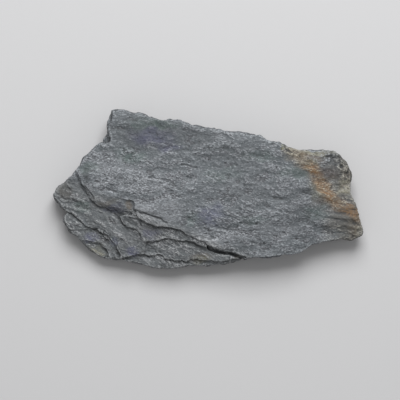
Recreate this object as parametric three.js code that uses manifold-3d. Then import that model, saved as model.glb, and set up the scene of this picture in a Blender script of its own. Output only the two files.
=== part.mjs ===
// A slate fragment: one broken piece of slate, built from the cleavage sheets that the stone splits into.
// Millimetres. +Z is up, +X runs along the stone's length and +Y is the photograph's up.
// The origin is below the middle of the stone, at the level that it rests on.

import * as THREE from 'three';
import { mergeVertices } from 'three/addons/utils/BufferGeometryUtils.js';
import Module from 'manifold-3d';

const wasm = await Module();
wasm.setup();

// Cleaning of the triangles that the cuts leave
const SHORTEST_EDGE = 0.16;
const THINNEST = 0.03;
const STEADY_NORMAL = 0.7;
const CLEANING_PASSES = 4;

// Driving sizes
const TOP_FACE = 10;
const REACH = 60;

// The heights at which one cleavage sheet ends and the next begins
const SEAMS = [1.5, 2.9, 4.2, 5.6, 7.1, 8.5];
const SHEET_OVERLAP = 0.5;
const SEAM_CELL = { along: 10.5, across: 8.5 };
const SEAM_WAVE = 0.22;

// The rim of each sheet: how far apart its points are, and how far back its lean, its breaks and
// its few deeper notches take it. Each is drawn by noise of its own size.
const RIM_SPACING = 2.4;
const RIM_BREAK = { depth: 0.75, size: 2.9 };
const RIM_LEAN = { depth: 1.9, size: 11, mean: 0.6, swing: 0.4 };
const RIM_NOTCH = { depth: 3.6, size: 8, threshold: 0.55 };

// The two top sheets keep most of their outline: this share of the breaks is left to them
const TOP_SHEETS_BREAK = 0.35;

// The rim stands upright at the stepped lower left and at the left tip: where each begins and
// where it is at its most
const STEPPED = { fromY: -2, toY: -9, fromX: 14, toX: 6 };
const LEFT_TIP = { from: -30, to: -36 };

// The edges of the ledges: their points are this far apart and wander by this much, by noise that
// changes this many times per millimetre
const EDGE_SPACING = 1.8;
const EDGE_WANDER = 0.22;
const EDGE_WAVES = 1.3;

// Cells of the faces are pulled out of their rows by this share of their size
const CELL_SHIFT = 0.27;

// The noise for those pulls, along X and along Y, changes this many times per millimetre
const CELL_PULL_X = { x: 1.7, y: 1.3 };
const CELL_PULL_Y = { x: 1.1, y: 1.9 };

// Blocks of rock or air reach this far past the outline that they serve
const SHEET_MARGIN = 3;
const FACE_MARGIN = 4;
const EDGE_MARGIN = 2;

// Each family of forms draws its own repeatable noise
const SEEDS = {
  bend: 1,
  rib: 2,
  lean: 3,
  cellX: 5,
  cellY: 6,
  hollow: 9,
  breaks: 20,
  notches: 40,
  edges: 60,
  undersideEdges: 80,
  ledgeFaces: 90,
  undersideFaces: 110,
};

// The spine: the line that the rim leans in towards, and that the sheets have in common
const SPINE_START = new THREE.Vector2(-24, 2);
const SPINE_END = new THREE.Vector2(28, -3);

// The top face: long low ribs along the stone's grain, on a broad bend
const TOP_CELL = { along: 3.3, across: 1.6 };
const GRAIN_SLOPE = -0.14;
const RIB = { along: 13, across: 2.3, height: 0.26 };
const BEND = { along: 46, across: 27, height: 0.5 };
const RIGHT_FALL = { from: 16, to: 44, drop: 2.7 };
const LEFT_FALL = { from: -14, to: -38, drop: 0.7 };
const FRONT_FALL = { from: -3, to: -20, drop: 2.0 };

// The underside: one flat spot in the middle that the stone rests on, and shallow hollows around it
const REST_SPOT = { x: -1, y: -1, halfLength: 27, halfWidth: 12.5 };
const UNDERSIDE_CELL = { along: 5.2, across: 4.6 };
const UNDERSIDE_RISE = 0.75;
const UNDERSIDE_WAVE = { along: 8, across: 5, mean: 0.6, swing: 0.4 };

// The whole stone's outline from above, from the upper left corner clockwise
const OUTLINE = [
  [-26.7, 21.6], [-23.9, 21.9], [-20.6, 21.0], [-18.9, 21.1], [-14.5, 19.5], [-12.6, 19.1],
  [-10.6, 19.3], [-8.4, 19.1], [-5.1, 18.0], [-1.0, 17.0], [3.5, 16.4], [7.1, 15.6],
  [9.0, 15.8], [12.6, 15.0], [14.3, 15.0], [16.2, 13.4], [19.5, 13.0], [21.7, 11.7],
  [25.3, 11.0], [29.7, 10.7], [35.0, 10.8], [36.6, 9.2], [38.6, 6.7], [39.4, 5.3],
  [39.7, 3.9], [39.3, 0.6], [39.1, -0.8], [40.8, -3.8], [41.9, -7.1], [43.2, -11.8],
  [42.9, -13.0], [40.8, -13.8], [40.1, -14.6], [37.2, -14.3], [33.9, -14.6], [30.8, -14.9],
  [28.4, -15.6], [26.1, -17.2], [25.0, -17.9], [21.2, -18.0], [16.5, -19.1], [12.0, -18.9],
  [8.7, -19.9], [4.6, -20.8], [-1.0, -21.4], [-5.9, -21.3], [-9.2, -21.9], [-12.6, -21.9],
  [-15.6, -21.7], [-18.9, -20.8], [-23.1, -19.8], [-27.8, -19.2], [-30.0, -18.8], [-32.7, -17.5],
  [-34.7, -15.3], [-35.8, -13.5], [-38.3, -12.1], [-40.2, -9.1], [-40.2, -7.8], [-39.1, -6.3],
  [-41.0, -4.8], [-42.9, -2.4], [-42.9, -1.6], [-41.6, 0.6], [-39.7, 2.0], [-38.0, 3.6],
  [-35.8, 6.3], [-34.5, 8.6], [-33.3, 9.4], [-32.3, 11.0], [-29.4, 13.3], [-27.8, 15.8],
  [-28.0, 18.2], [-26.9, 20.9],
];

// The faces of the ledges are lumpy
const LEDGE_CELL = { along: 3.1, across: 2.1 };
const LUMP = { along: 3.1, across: 1.7 };

// The lower left is a shingled slope: its ledges lie below this dipping plane by a drop each
const SHINGLE = { x: -20, y: -7, height: 9.4, dipX: 0.03, dipY: 0.13 };

// The ledges where upper sheets broke away. Each is cut down to its own face, and the sheet above it
// may be undercut by a thin open seam, which reaches in by the given shift.
const LEDGES = [
  {
    name: 'plate under the crack',
    outline: [
      [-21.6, -5.6], [-20.3, -6.3], [-18.4, -6.7], [-16.7, -7.1], [-15.6, -7.6], [-14.2, -8.0],
      [-13.1, -8.4], [-12.0, -9.2], [-10.9, -10.3], [-9.8, -11.6], [-12.0, -14.1], [-19.5, -14.1],
      [-22.2, -9.1],
    ],
    drop: 0.3, roughness: 0.14, shift: [0.2, 0.5], seam: 0.25,
  },
  {
    name: 'strip under the top plate',
    outline: [
      [-31.2, -2.6], [-29.4, -2.2], [-27.8, -2.5], [-26.1, -2.6], [-24.5, -2.5], [-23.1, -2.8],
      [-22.0, -2.9], [-20.7, -3.5], [-20.4, -4.4], [-20.6, -5.3], [-20.0, -6.5], [-19.5, -8.5],
      [-22.2, -9.9], [-30.0, -9.9], [-32.2, -4.7],
    ],
    drop: 0.75, roughness: 0.16, shift: [0.3, 0.6], seam: 0.25,
  },
  {
    name: 'slope down from the left edge of the top plate',
    outline: [
      [-37.4, 8.1], [-36.9, 6.7], [-36.2, 5.3], [-35.5, 3.9], [-34.7, 2.1], [-33.9, 0.7],
      [-33.0, -0.5], [-32.1, -1.8], [-31.2, -2.7], [-29.8, -4.0], [-31.1, -4.4], [-32.5, -3.3],
      [-33.6, -2.0], [-34.5, -0.6], [-35.7, 1.1], [-36.6, 3.1], [-37.7, 5.3], [-38.6, 7.2],
    ],
    face: { x: -33.5, y: 1.3, height: 9.2, dipX: 0.76, dipY: 0.49 },
    drop: 0, roughness: 0.12, shift: [0, 0], seam: 0,
  },
  {
    name: 'slope down from the strip',
    outline: [
      [-31.0, -3.1], [-29.4, -3.5], [-27.8, -4.0], [-25.6, -4.7], [-23.3, -5.2], [-22.0, -5.4],
      [-21.0, -6.2], [-21.1, -7.4], [-23.2, -7.5], [-25.3, -7.0], [-27.2, -6.0], [-29.2, -5.3],
      [-30.8, -4.7],
    ],
    face: { x: -26.1, y: -4.7, height: 8.7, dipX: 0.18, dipY: 0.78 },
    drop: 0, roughness: 0.12, shift: [0.1, 0.3], seam: 0.2,
  },
  {
    name: 'plate under the lower edge of the top plate',
    outline: [
      [-26.4, -5.9], [-25.0, -7.0], [-23.3, -7.6], [-21.7, -7.9], [-20.0, -8.0], [-18.6, -8.3],
      [-17.0, -9.3], [-15.7, -10.0], [-14.5, -10.4], [-12.6, -10.4], [-10.1, -10.9], [-7.9, -11.5],
      [-5.9, -12.6], [-4.3, -13.0], [-2.3, -14.2], [-0.1, -15.6], [1.3, -16.1], [3.2, -16.8],
      [5.4, -17.1], [7.6, -17.4], [9.6, -18.1], [11.5, -18.8], [13.7, -20.1], [13.7, -30.0],
      [-34.0, -30.0], [-34.0, -6.3],
    ],
    drop: 1.25, roughness: 0.16, shift: [0.3, 0.8], seam: 0.35,
  },
  {
    name: 'band from the lobe to the front',
    outline: [
      [-38.4, 8.1], [-37.7, 6.4], [-37.0, 4.7], [-36.3, 3.2], [-35.4, 1.4], [-34.4, -0.1],
      [-33.3, -1.6], [-32.2, -3.0], [-30.8, -4.2], [-29.2, -5.1], [-27.2, -5.7], [-26.1, -6.0],
      [-25.2, -6.6], [-24.7, -7.6], [-24.2, -8.5], [-23.6, -9.6], [-22.8, -10.4], [-21.4, -10.9],
      [-20.0, -11.2], [-19.3, -11.7], [-18.4, -13.2], [-17.5, -15.2], [-16.7, -16.8], [-15.9, -18.2],
      [-15.3, -20.1], [-15.1, -30.0], [-50.2, -30.0], [-50.2, 8.1],
    ],
    face: { x: -33, y: 0, height: 7.9, dipX: 0.05, dipY: 0.13 },
    drop: 0, roughness: 0.2, shift: [0.2, 0.3], seam: 0.25,
  },
  {
    name: 'small chip plate',
    outline: [
      [-17.7, -14.6], [-16.7, -14.3], [-15.3, -14.4], [-13.7, -14.0], [-12.0, -13.6], [-10.1, -13.8],
      [-7.9, -13.9], [-5.9, -14.2], [-4.0, -14.7], [-1.8, -15.6], [0.4, -16.6], [6.0, -18.1],
      [6.0, -30.0], [-18.1, -30.0], [-17.6, -17.1],
    ],
    drop: 2.1, roughness: 0.2, shift: [0.1, 0.4], seam: 0.25,
  },
  {
    name: 'gap under the lower edge of the top plate',
    outline: [
      [-1.2, -15.2], [1.3, -16.2], [3.2, -16.9], [5.4, -17.2], [7.6, -17.5], [9.6, -18.2],
      [11.7, -19.1], [8.8, -19.2], [5.6, -18.2], [2.6, -17.8], [0.2, -16.8],
    ],
    drop: 3.1, roughness: 0.2, shift: [0.3, 0.7], seam: 0.9,
  },
  {
    name: 'knobby plate at the left',
    outline: [
      [-42.4, -3.6], [-41.0, -4.8], [-39.4, -5.8], [-38.0, -6.3], [-36.9, -6.9], [-36.1, -7.7],
      [-35.0, -8.9], [-33.9, -9.9], [-32.5, -10.7], [-31.1, -11.0], [-29.7, -11.5], [-28.6, -12.3],
      [-27.8, -13.0], [-26.7, -14.3], [-25.8, -15.4], [-25.1, -16.4], [-24.6, -17.9], [-24.2, -20.1],
      [-24.2, -30.0], [-50.2, -30.0], [-50.2, -3.6],
    ],
    drop: 2.5, roughness: 0.4, shift: [0.2, 0.4], seam: 0.3,
  },
  {
    name: 'purple plate at the left',
    outline: [
      [-41.0, -11.0], [-38.3, -11.2], [-36.1, -11.1], [-33.6, -11.0], [-31.6, -11.2], [-29.7, -11.8],
      [-28.6, -13.0], [-27.6, -14.3], [-26.8, -15.9], [-26.1, -17.4], [-25.6, -20.1], [-25.6, -30.0],
      [-50.2, -30.0], [-50.2, -11.0],
    ],
    drop: 2.85, roughness: 0.18, shift: [0.1, 0.3], seam: 0.2,
  },
  {
    name: 'olive plate at the left',
    outline: [
      [-37.7, -13.9], [-35.8, -14.1], [-34.4, -14.4], [-32.7, -14.7], [-31.4, -14.9], [-30.3, -15.1],
      [-29.2, -15.9], [-28.2, -16.9], [-27.7, -17.8], [-27.4, -20.1], [-27.4, -30.0], [-50.2, -30.0],
      [-50.2, -13.5],
    ],
    drop: 3.5, roughness: 0.2, shift: [0.2, 0.4], seam: 0.3,
  },
  {
    name: 'lowest plate along the front',
    outline: [
      [-23.3, -18.9], [-21.7, -18.5], [-20.0, -18.2], [-17.8, -17.8], [-15.6, -18.6], [-13.4, -18.7],
      [-12.3, -19.4], [-9.0, -19.6], [-6.8, -19.5], [-3.4, -19.8], [1.0, -19.8], [3.7, -20.3],
      [7.3, -19.3], [9.6, -19.2], [9.0, -30.0], [-26.0, -30.0], [-25.6, -19.2],
    ],
    drop: 2.9, roughness: 0.25, shift: [0.1, 0.6], seam: 0.5,
  },
  {
    name: 'lower sheet at the right end',
    outline: [
      [33.0, 0.9], [34.2, 0.6], [35.5, 0.0], [37.8, -0.5], [39.9, -0.6], [50, -0.6], [50, -17],
      [33.6, -17], [32.6, -9],
    ],
    face: { x: 33, y: -8, height: 8.2, dipX: -0.16, dipY: 0.05 },
    drop: 0, roughness: 0.3, shift: [0, 0.4], seam: 0.25,
  },
  {
    name: 'broken slope at the upper right end',
    outline: [
      [30.8, 8.1], [32.5, 9.2], [33.9, 10.1], [35.5, 11.8], [50, 12], [50, 0.4], [38.2, 1.0],
      [35.0, 2.6], [33.4, 4.6], [31.6, 6.2],
    ],
    face: { x: 32, y: 7, height: 8.7, dipX: -0.22, dipY: 0.02 },
    drop: 0, roughness: 0.55, shift: [0, 0], seam: 0,
  },
  {
    name: 'chip along the back at the right',
    outline: [
      [19.9, 14.5], [21.4, 10.8], [23.4, 9.7], [25.3, 8.6], [27.2, 7.2], [30.3, 7.8],
      [34.4, 9.4], [38.0, 12.5],
    ],
    face: { x: 25, y: 9, height: 8.8, dipX: -0.06, dipY: -0.3 },
    drop: 0, roughness: 0.3, shift: [0, 0], seam: 0,
  },
  {
    name: 'side strip at the upper left corner',
    outline: [
      [-26.4, 23], [-26.7, 20.8], [-26.9, 19.4], [-27.2, 17.5], [-27.4, 16.0], [-27.1, 14.2],
      [-27.0, 13.0], [-32, 12.6], [-32, 23],
    ],
    face: { x: -27, y: 17, height: 7.4, dipX: 0.9, dipY: 0 },
    drop: 0, roughness: 0.2, shift: [0, 0], seam: 0,
  },
];

// Sheets that broke away from the underside, cut up to the given height
const UNDERSIDE_LEDGES = [
  {
    name: 'underside step at the right end',
    outline: [[31, 14], [29.5, 8], [30.8, 3], [29, -3], [31.5, -9], [30, -18], [50, -18], [50, 14]],
    face: { x: 30, y: 0, height: 1.5, dipX: 0.05, dipY: 0.02 },
    drop: 0, roughness: 0.2,
  },
  {
    name: 'underside step along the back',
    outline: [[-30, 9.5], [-22, 11], [-14, 10.2], [-4, 11.8], [6, 10.6], [14, 12], [16, 30], [-34, 30]],
    face: { x: -10, y: 11, height: 1.2, dipX: 0.01, dipY: 0.06 },
    drop: 0, roughness: 0.2,
  },
  {
    name: 'underside step at the left tip',
    outline: [[-34, 9], [-32.5, 3], [-34.2, -2], [-33, -6.5], [-36, -10], [-50, -10], [-50, 9]],
    face: { x: -34, y: 0, height: 1.4, dipX: -0.06, dipY: 0.03 },
    drop: 0, roughness: 0.2,
  },
];

// Open cracks: each follows its path down from the top face, widest at its first point
const CRACKS = [
  {
    name: 'crack in the left side',
    path: [[-31.5, 14.4], [-29.0, 13.2], [-27.4, 12.4], [-26.8, 11.4]],
    width: 0.9, depth: 4.2,
  },
  {
    name: 'crack below the strip',
    path: [[-20.8, -5.9], [-19.0, -6.6], [-16.9, -7.5], [-14.4, -8.3], [-12.2, -9.0]],
    width: 0.5, depth: 2.2,
  },
  {
    name: 'crack through the front plate',
    path: [[-20.6, -18.1], [-19.2, -17.8], [-17.6, -17.2]],
    width: 0.6, depth: 1.6,
  },
];

// Repeatable noise

function latticeValue(i, j, seed) {
  const wave = Math.sin(i * 127.1 + j * 311.7 + seed * 74.7) * 43758.5453;
  return wave - Math.floor(wave);
}

function smoothNoise(x, y, seed) {
  const i = Math.floor(x);
  const j = Math.floor(y);
  const u = THREE.MathUtils.smoothstep(x - i, 0, 1);
  const v = THREE.MathUtils.smoothstep(y - j, 0, 1);
  const near = THREE.MathUtils.lerp(latticeValue(i, j, seed), latticeValue(i + 1, j, seed), u);
  const far = THREE.MathUtils.lerp(latticeValue(i, j + 1, seed), latticeValue(i + 1, j + 1, seed), u);
  return THREE.MathUtils.lerp(near, far, v) * 2 - 1;
}

// Faces of the stone, as heights above a point

function grainNoise(x, y, wave, seed) {
  return wave.height * smoothNoise(x / wave.along, (y - GRAIN_SLOPE * x) / wave.across, seed);
}

function topFace(x, y) {
  const rightFall = RIGHT_FALL.drop * THREE.MathUtils.smoothstep(x, RIGHT_FALL.from, RIGHT_FALL.to);
  const leftFall = LEFT_FALL.drop * THREE.MathUtils.smoothstep(-x, -LEFT_FALL.from, -LEFT_FALL.to);
  const frontFall = FRONT_FALL.drop * THREE.MathUtils.smoothstep(-y, -FRONT_FALL.from, -FRONT_FALL.to);
  const ribbed = TOP_FACE + grainNoise(x, y, BEND, SEEDS.bend) + grainNoise(x, y, RIB, SEEDS.rib);
  return ribbed - rightFall - leftFall - frontFall;
}

function seamFace(level, x, y) {
  const wave = smoothNoise(x / SEAM_CELL.along, y / SEAM_CELL.across, level);
  return level + grainNoise(x, y, BEND, SEEDS.bend) + SEAM_WAVE * wave;
}

function underside(x, y) {
  const away = Math.hypot(
    Math.max(0, Math.abs(x - REST_SPOT.x) - REST_SPOT.halfLength) / REST_SPOT.halfLength,
    Math.max(0, Math.abs(y - REST_SPOT.y) - REST_SPOT.halfWidth) / REST_SPOT.halfWidth,
  );
  const wave = smoothNoise(x / UNDERSIDE_WAVE.along, y / UNDERSIDE_WAVE.across, SEEDS.hollow);
  const hollow = UNDERSIDE_WAVE.mean + UNDERSIDE_WAVE.swing * wave;
  return UNDERSIDE_RISE * Math.min(1, away) * hollow;
}

function ledgeFace(ledge, seed, x, y) {
  const plane = ledge.face ?? SHINGLE;
  const dipped = plane.height + plane.dipX * (x - plane.x) + plane.dipY * (y - plane.y);
  const lumps = ledge.roughness * smoothNoise(x / LUMP.along, y / LUMP.across, seed);
  return dipped - ledge.drop + lumps;
}

// Solids

function toSolid(geometry) {
  const bare = geometry.clone();
  bare.deleteAttribute('normal');
  bare.deleteAttribute('uv');
  const merged = mergeVertices(bare);
  return new wasm.Manifold(new wasm.Mesh({
    numProp: 3,
    vertProperties: new Float32Array(merged.attributes.position.array),
    triVerts: new Uint32Array(merged.index.array),
  }));
}

// The body with the most triangles, without chips that the cuts left loose
function largestBody(triangles, pointCount) {
  const leaders = Array.from({ length: pointCount }, (_, point) => point);
  const leaderOf = (point) => {
    let leader = point;
    while (leaders[leader] !== leader) {
      leaders[leader] = leaders[leaders[leader]];
      leader = leaders[leader];
    }
    return leader;
  };
  triangles.forEach(([a, b, c]) => {
    leaders[leaderOf(a)] = leaderOf(b);
    leaders[leaderOf(b)] = leaderOf(c);
  });
  const bodies = new Map();
  triangles.forEach((triangle) => {
    const leader = leaderOf(triangle[0]);
    bodies.set(leader, [...(bodies.get(leader) ?? []), triangle]);
  });
  return [...bodies.values()].reduce((largest, body) => (body.length > largest.length ? body : largest));
}

function normalOf(points, [a, b, c]) {
  return new THREE.Triangle(points[a], points[b], points[c]).getNormal(new THREE.Vector3());
}

// Joins the ends of the short edges that the cuts leave, where the surface stays closed and no
// triangle turns over
function withoutShortEdges(points, triangles) {
  const around = points.map(() => new Set());
  triangles.forEach((triangle) => triangle.forEach((point) => around[point].add(triangle)));
  const neighbours = (point) => new Set([...around[point]].flat());
  const canMove = (from, to) => {
    const shared = [...neighbours(from)].filter((point) => neighbours(to).has(point));
    const turned = [...around[from]].filter((triangle) => !triangle.includes(to)).some((triangle) => {
      const moved = triangle.map((point) => (point === from ? to : point));
      return normalOf(points, moved).dot(normalOf(points, triangle)) < STEADY_NORMAL;
    });
    return shared.length === 4 && !turned;
  };
  const move = (from, to) => {
    [...around[from]].forEach((triangle) => {
      if (triangle.includes(to)) {
        triangle.forEach((point) => around[point].delete(triangle));
        return;
      }
      triangle[triangle.indexOf(from)] = to;
      around[to].add(triangle);
    });
    around[from].clear();
  };
  for (let pass = 0; pass < CLEANING_PASSES; pass += 1) {
    points.forEach((point, from) => {
      const near = [...neighbours(from)].filter(
        (to) => to !== from && points[to].distanceTo(point) < SHORTEST_EDGE,
      );
      const target = near.find((to) => canMove(from, to));
      if (target !== undefined) {
        move(from, target);
      }
    });
  }
  return [...new Set(around.flatMap((set) => [...set]))];
}

function longestSideFirst(points, triangle) {
  const turns = [0, 1, 2].map((start) => [0, 1, 2].map((step) => triangle[(start + step) % 3]));
  const sideLength = ([from, to]) => points[from].distanceTo(points[to]);
  return turns.reduce((longest, turn) => (sideLength(turn) > sideLength(longest) ? turn : longest));
}

function sliverHeight(points, triangle) {
  const [from, to, tip] = longestSideFirst(points, triangle).map((point) => points[point]);
  return (2 * new THREE.Triangle(from, to, tip).getArea()) / from.distanceTo(to);
}

// Turns the longest side of each flat sliver across, to the far corner of the triangle behind it
function withoutSlivers(points, triangles) {
  const sideKey = (from, to) => `${from} ${to}`;
  for (let pass = 0; pass < CLEANING_PASSES; pass += 1) {
    const bySide = new Map();
    triangles.forEach((triangle) => {
      triangle.forEach((point, corner) => bySide.set(sideKey(point, triangle[(corner + 1) % 3]), triangle));
    });
    const turned = new Set();
    triangles.filter((triangle) => sliverHeight(points, triangle) < THINNEST).forEach((sliver) => {
      const [from, to, tip] = longestSideFirst(points, sliver);
      const behind = bySide.get(sideKey(to, from));
      if (turned.has(sliver) || turned.has(behind)) {
        return;
      }
      const far = behind.find((point) => point !== from && point !== to);
      const halves = [[from, far, tip], [far, to, tip]];
      const steady = halves.every(
        (half) => normalOf(points, half).dot(normalOf(points, behind)) > STEADY_NORMAL,
      );
      if (steady && !bySide.has(sideKey(tip, far)) && !bySide.has(sideKey(far, tip))) {
        sliver.splice(0, 3, ...halves[0]);
        behind.splice(0, 3, ...halves[1]);
        bySide.set(sideKey(far, tip), sliver);
        turned.add(sliver).add(behind);
      }
    });
  }
  return triangles;
}

function toGeometry(solid) {
  const mesh = solid.getMesh();
  const points = [];
  for (let index = 0; index < mesh.vertProperties.length; index += 3) {
    points.push(new THREE.Vector3().fromArray(mesh.vertProperties, index));
  }
  const triangles = [];
  for (let index = 0; index < mesh.triVerts.length; index += 3) {
    triangles.push([...mesh.triVerts.subarray(index, index + 3)]);
  }
  const joined = withoutShortEdges(points, largestBody(triangles, points.length));
  const clean = withoutSlivers(points, joined);
  const geometry = new THREE.BufferGeometry().setFromPoints(points);
  geometry.setIndex(clean.flat());
  return geometry;
}

function prism(outline, bottom, top) {
  const shape = new THREE.Shape(outline.map(([x, y]) => new THREE.Vector2(x, y)));
  const geometry = new THREE.ExtrudeGeometry(shape, { depth: top - bottom, bevelEnabled: false });
  geometry.translate(0, 0, bottom);
  return toSolid(geometry);
}

// A block over the given box whose lower and upper faces follow two height functions
function faceBlock(box, cell, lowerFace, upperFace) {
  const columns = Math.ceil((box.max.x - box.min.x) / cell.along);
  const rows = Math.ceil((box.max.y - box.min.y) / cell.across);
  const size = box.getSize(new THREE.Vector2());
  const centre = box.getCenter(new THREE.Vector2());
  const geometry = new THREE.BoxGeometry(size.x, size.y, 2, columns, rows, 1);
  const positions = geometry.attributes.position;
  for (let index = 0; index < positions.count; index += 1) {
    const gridX = positions.getX(index) + centre.x;
    const gridY = positions.getY(index) + centre.y;
    const pullX = smoothNoise(gridX * CELL_PULL_X.x, gridY * CELL_PULL_X.y, SEEDS.cellX);
    const pullY = smoothNoise(gridX * CELL_PULL_Y.x, gridY * CELL_PULL_Y.y, SEEDS.cellY);
    const x = gridX + CELL_SHIFT * cell.along * pullX;
    const y = gridY + CELL_SHIFT * cell.across * pullY;
    const face = positions.getZ(index) > 0 ? upperFace : lowerFace;
    positions.setXYZ(index, x, y, face(x, y));
  }
  return toSolid(geometry);
}

function boxAround(outline, margin) {
  const box = new THREE.Box2().setFromPoints(outline.map(([x, y]) => new THREE.Vector2(x, y)));
  return box.expandByScalar(margin);
}

// Rims

function subdivide(outline, spacing) {
  const points = [];
  outline.forEach(([x, y], index) => {
    const [nextX, nextY] = outline[(index + 1) % outline.length];
    const pieces = Math.max(1, Math.round(Math.hypot(nextX - x, nextY - y) / spacing));
    for (let piece = 0; piece < pieces; piece += 1) {
      const part = piece / pieces;
      points.push([THREE.MathUtils.lerp(x, nextX, part), THREE.MathUtils.lerp(y, nextY, part)]);
    }
  });
  return points;
}

function spinePointNear(x, y) {
  const spine = new THREE.Line3(
    new THREE.Vector3(SPINE_START.x, SPINE_START.y, 0),
    new THREE.Vector3(SPINE_END.x, SPINE_END.y, 0),
  );
  return spine.closestPointToPoint(new THREE.Vector3(x, y, 0), true, new THREE.Vector3());
}

function movedInwards([x, y], distance) {
  const spinePoint = spinePointNear(x, y);
  const length = Math.hypot(spinePoint.x - x, spinePoint.y - y);
  return [x + ((spinePoint.x - x) * distance) / length, y + ((spinePoint.y - y) * distance) / length];
}

// How far in a sheet's rim is broken: the side leans in towards the underside, except at the
// stepped lower left, and each sheet has its own breaks and a few deeper notches
function rimInset(x, y, sheet) {
  const { smoothstep } = THREE.MathUtils;
  const sized = (form, seed) => smoothNoise(x / form.size, y / form.size, seed);
  const below = smoothstep(-y, -STEPPED.fromY, -STEPPED.toY);
  const stepped = below * smoothstep(-x, -STEPPED.fromX, -STEPPED.toX);
  const leftTip = smoothstep(-x, -LEFT_TIP.from, -LEFT_TIP.to);
  const leanVaries = RIM_LEAN.mean + RIM_LEAN.swing * sized(RIM_LEAN, SEEDS.lean);
  const lean = RIM_LEAN.depth * (1 - Math.max(stepped, leftTip)) * leanVaries;
  const depthBelowTop = Math.max(0, 1 - (sheet + 1) / SEAMS.length);
  const breaks = RIM_BREAK.depth * Math.abs(sized(RIM_BREAK, SEEDS.breaks + sheet));
  const deep = Math.max(0, sized(RIM_NOTCH, SEEDS.notches + sheet) - RIM_NOTCH.threshold);
  const notch = RIM_NOTCH.depth * deep;
  const whole = sheet >= SEAMS.length - 1 ? TOP_SHEETS_BREAK : 1;
  return lean * depthBelowTop + (breaks + notch * (1 - stepped)) * whole;
}

function sheetOutline(sheet) {
  return subdivide(OUTLINE, RIM_SPACING).map((point) => movedInwards(point, rimInset(...point, sheet)));
}

function brokenEdge(outline, seed) {
  return subdivide(outline, EDGE_SPACING).map(([x, y]) => [
    x + EDGE_WANDER * smoothNoise(x * EDGE_WAVES, y * EDGE_WAVES, seed),
    y + EDGE_WANDER * smoothNoise(x * EDGE_WAVES, y * EDGE_WAVES, seed + 0.5),
  ]);
}

// The sheets, the ledges cut into them, and the cracks

function sheetSolid(sheet) {
  const lowerFace = sheet === 0
    ? () => -REACH
    : (x, y) => seamFace(SEAMS[sheet - 1], x, y) - SHEET_OVERLAP;
  const upperFace = sheet === SEAMS.length
    ? () => REACH
    : (x, y) => seamFace(SEAMS[sheet], x, y);
  const block = faceBlock(boxAround(OUTLINE, SHEET_MARGIN), SEAM_CELL, lowerFace, upperFace);
  return block.intersect(prism(sheetOutline(sheet), -REACH / 2, REACH / 2));
}

function ledgeCut(ledge, index) {
  const outline = brokenEdge(ledge.outline, SEEDS.edges + index);
  const box = boxAround(OUTLINE, FACE_MARGIN).intersect(boxAround(outline, EDGE_MARGIN));
  const floor = (x, y) => ledgeFace(ledge, SEEDS.ledgeFaces + index, x, y);
  const air = faceBlock(box, LEDGE_CELL, floor, () => REACH);
  const cut = air.intersect(prism(outline, -REACH, REACH / 2));
  if (ledge.seam === 0) {
    return cut;
  }
  const [shiftX, shiftY] = ledge.shift;
  const shifted = outline.map(([x, y]) => [x + shiftX, y + shiftY]);
  const thinAir = faceBlock(box, LEDGE_CELL, floor, (x, y) => floor(x, y) + ledge.seam);
  return cut.add(thinAir.intersect(prism(shifted, -REACH, REACH / 2)));
}

function undersideCut(ledge, index) {
  const outline = brokenEdge(ledge.outline, SEEDS.undersideEdges + index);
  const ceiling = (x, y) => ledgeFace(ledge, SEEDS.undersideFaces + index, x, y);
  const air = faceBlock(boxAround(outline, EDGE_MARGIN), UNDERSIDE_CELL, () => -REACH, ceiling);
  return air.intersect(prism(outline, -REACH / 2, REACH));
}

function crackCut(crack) {
  const last = crack.path.length - 1;
  const there = crack.path.map(([x, y], index) => [x, y + crack.width * 0.5 * (1 - index / last)]);
  const back = crack.path.slice(0, last).map(([x, y], index) => [
    x,
    y - crack.width * 0.5 * (1 - index / last),
  ]);
  const outline = [...there, ...back.reverse()];
  const [middleX, middleY] = crack.path[1];
  const bottom = topFace(middleX, middleY) - crack.depth;
  return prism(outline, bottom, REACH);
}

function slateFragment() {
  let stone = sheetSolid(0);
  for (let sheet = 1; sheet <= SEAMS.length; sheet += 1) {
    stone = stone.add(sheetSolid(sheet));
  }
  const box = boxAround(OUTLINE, FACE_MARGIN);
  stone = stone.intersect(faceBlock(box, TOP_CELL, () => -REACH, topFace));
  stone = stone.intersect(faceBlock(box, UNDERSIDE_CELL, underside, () => REACH));
  LEDGES.forEach((ledge, index) => {
    stone = stone.subtract(ledgeCut(ledge, index));
  });
  UNDERSIDE_LEDGES.forEach((ledge, index) => {
    stone = stone.subtract(undersideCut(ledge, index));
  });
  CRACKS.forEach((crack) => {
    stone = stone.subtract(crackCut(crack));
  });
  return toGeometry(stone);
}

// The stone moved so that the middle of its bounding box's lower face is the origin
function restingOnOrigin(stone) {
  stone.computeBoundingBox();
  const middle = stone.boundingBox.getCenter(new THREE.Vector3());
  stone.translate(-middle.x, -middle.y, -stone.boundingBox.min.z);
  stone.computeVertexNormals();
  return stone;
}

const slate = new THREE.MeshStandardMaterial({ color: 0x6d747b, roughness: 0.88, metalness: 0 });
const fragment = new THREE.Mesh(restingOnOrigin(slateFragment()), slate);
fragment.name = 'slate_fragment';

const model = new THREE.Group();
model.add(fragment);

export default model;
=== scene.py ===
"""Slate fragment: the finish of a broken piece of slate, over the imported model."""

import math

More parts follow.
